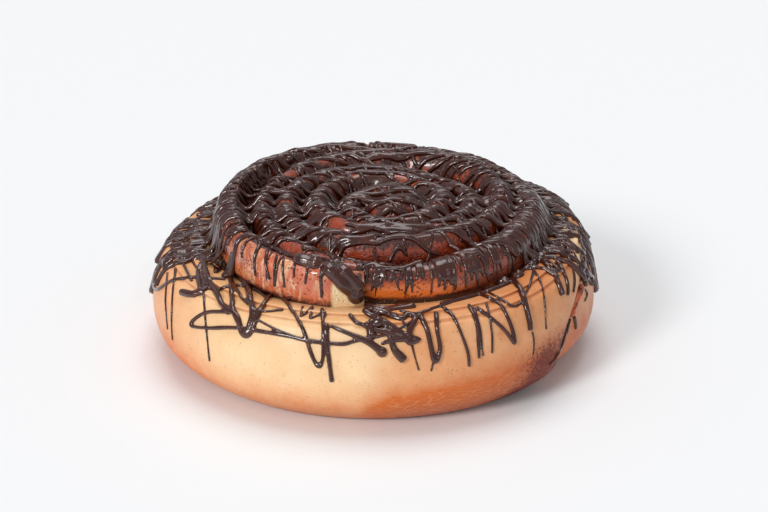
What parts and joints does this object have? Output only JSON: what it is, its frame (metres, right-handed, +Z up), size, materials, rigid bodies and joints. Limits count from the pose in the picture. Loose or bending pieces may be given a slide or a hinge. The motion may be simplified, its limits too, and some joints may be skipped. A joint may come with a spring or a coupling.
{
  "type": "coiled sweet bun with chocolate drizzle",
  "caption": "Large round coiled sweet bun: a glazed spiral roll stands in a plain outer ring of baked dough, with a dark filling between its turns and chocolate drizzled over.",
  "frame": {"origin": "middle of the flat base, on the surface that the bun stands on", "axes": "+Z up through the bun's crown; -Y is the front, where the roll's outer end shows; +X is to the right, near the outer ring's lapped seam"},
  "size_m": [0.2122, 0.2098, 0.0743],
  "materials": {
    "baked_dough": "golden egg-washed crust, browner at the base, orange-brown and glazed on the roll",
    "chocolate": "dark glossy set chocolate drizzle",
    "swirl_filling": "dark baked chocolate filling, slightly moist",
    "seam_filling": "orange-brown caramelised filling, slightly glossy"
  },
  "bodies": {
    "root": {"coiled_dough": "baked_dough", "swirl_filling": "swirl_filling", "seam_filling": "seam_filling"}
  },
  "joints": []
}
